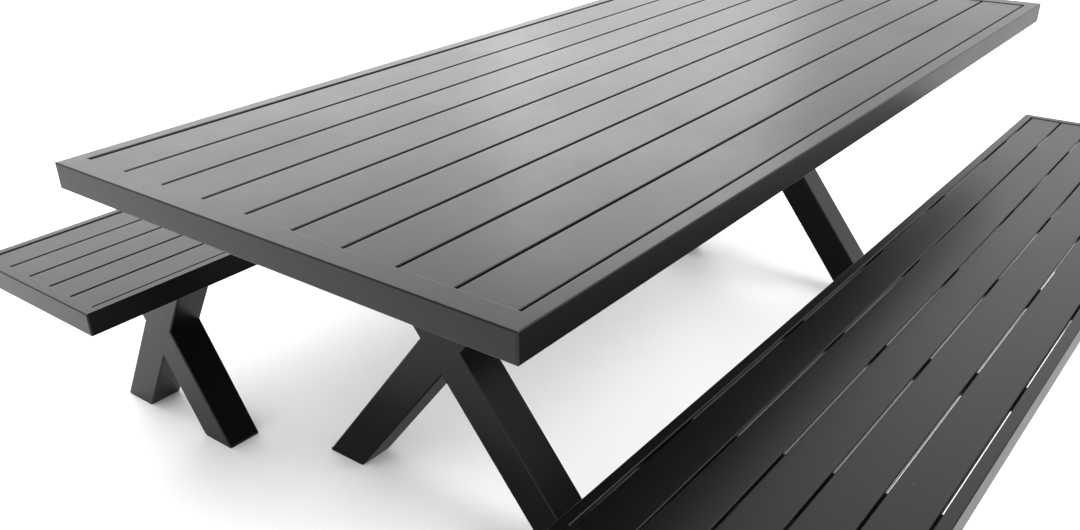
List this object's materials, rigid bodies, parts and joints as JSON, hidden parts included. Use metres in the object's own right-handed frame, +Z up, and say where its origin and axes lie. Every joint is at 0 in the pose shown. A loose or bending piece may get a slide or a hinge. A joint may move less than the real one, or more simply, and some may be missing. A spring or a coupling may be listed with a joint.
{
  "type": "picnic table set",
  "caption": "Slatted metal outdoor dining table on crossed tube legs, with matching free-standing slatted benches along both long sides.",
  "frame": {"origin": "on the floor, under the middle of the table top", "axes": "+X along the length of table and benches, +Y across towards the left bench, +Z up"},
  "size_m": [2.228, 1.882, 0.75],
  "materials": {
    "charcoal_coat": "satin",
    "black_plastic": "matte",
    "zinc_bolt": "satin"
  },
  "bodies": {
    "table": {"table_cross_bars": "charcoal_coat", "table_end_rail_far": "charcoal_coat", "table_end_rail_near": "charcoal_coat", "table_foot_soles": "black_plastic", "table_leg_bearers": "charcoal_coat", "table_leg_bolts": "zinc_bolt", "table_leg_far_long_tube": "charcoal_coat", "table_leg_far_short_arms": "charcoal_coat", "table_leg_near_long_tube": "charcoal_coat", "table_leg_near_short_arms": "charcoal_coat", "table_leg_plates": "charcoal_coat", "table_side_rail_left": "charcoal_coat", "table_side_rail_right": "charcoal_coat", "table_slat_1": "charcoal_coat", "table_slat_2": "charcoal_coat", "table_slat_3": "charcoal_coat", "table_slat_4": "charcoal_coat", "table_slat_5": "charcoal_coat", "table_slat_6": "charcoal_coat", "table_slat_7": "charcoal_coat", "table_slat_8": "charcoal_coat", "table_slat_9": "charcoal_coat"},
    "bench_left": {"bench_left_cross_bars": "charcoal_coat", "bench_left_end_rail_far": "charcoal_coat", "bench_left_end_rail_near": "charcoal_coat", "bench_left_foot_soles": "black_plastic", "bench_left_leg_bearers": "charcoal_coat", "bench_left_leg_bolts": "zinc_bolt", "bench_left_leg_far_long_tube": "charcoal_coat", "bench_left_leg_far_short_arms": "charcoal_coat", "bench_left_leg_near_long_tube": "charcoal_coat", "bench_left_leg_near_short_arms": "charcoal_coat", "bench_left_leg_plates": "charcoal_coat", "bench_left_side_rail_left": "charcoal_coat", "bench_left_side_rail_right": "charcoal_coat", "bench_left_slat_1": "charcoal_coat", "bench_left_slat_2": "charcoal_coat", "bench_left_slat_3": "charcoal_coat", "bench_left_slat_4": "charcoal_coat", "bench_left_slat_5": "charcoal_coat"},
    "bench_right": {"bench_right_cross_bars": "charcoal_coat", "bench_right_end_rail_far": "charcoal_coat", "bench_right_end_rail_near": "charcoal_coat", "bench_right_foot_soles": "black_plastic", "bench_right_leg_bearers": "charcoal_coat", "bench_right_leg_bolts": "zinc_bolt", "bench_right_leg_far_long_tube": "charcoal_coat", "bench_right_leg_far_short_arms": "charcoal_coat", "bench_right_leg_near_long_tube": "charcoal_coat", "bench_right_leg_near_short_arms": "charcoal_coat", "bench_right_leg_plates": "charcoal_coat", "bench_right_side_rail_left": "charcoal_coat", "bench_right_side_rail_right": "charcoal_coat", "bench_right_slat_1": "charcoal_coat", "bench_right_slat_2": "charcoal_coat", "bench_right_slat_3": "charcoal_coat", "bench_right_slat_4": "charcoal_coat", "bench_right_slat_5": "charcoal_coat"}
  },
  "joints": [
    {"name": "bench_left_slide", "type": "slide", "parent": "table", "child": "bench_left", "axis": [0, 1, 0], "range_m": [-0.35, 0.45]},
    {"name": "bench_right_slide", "type": "slide", "parent": "table", "child": "bench_right", "axis": [0, -1, 0], "range_m": [-0.35, 0.45]}
  ]
}
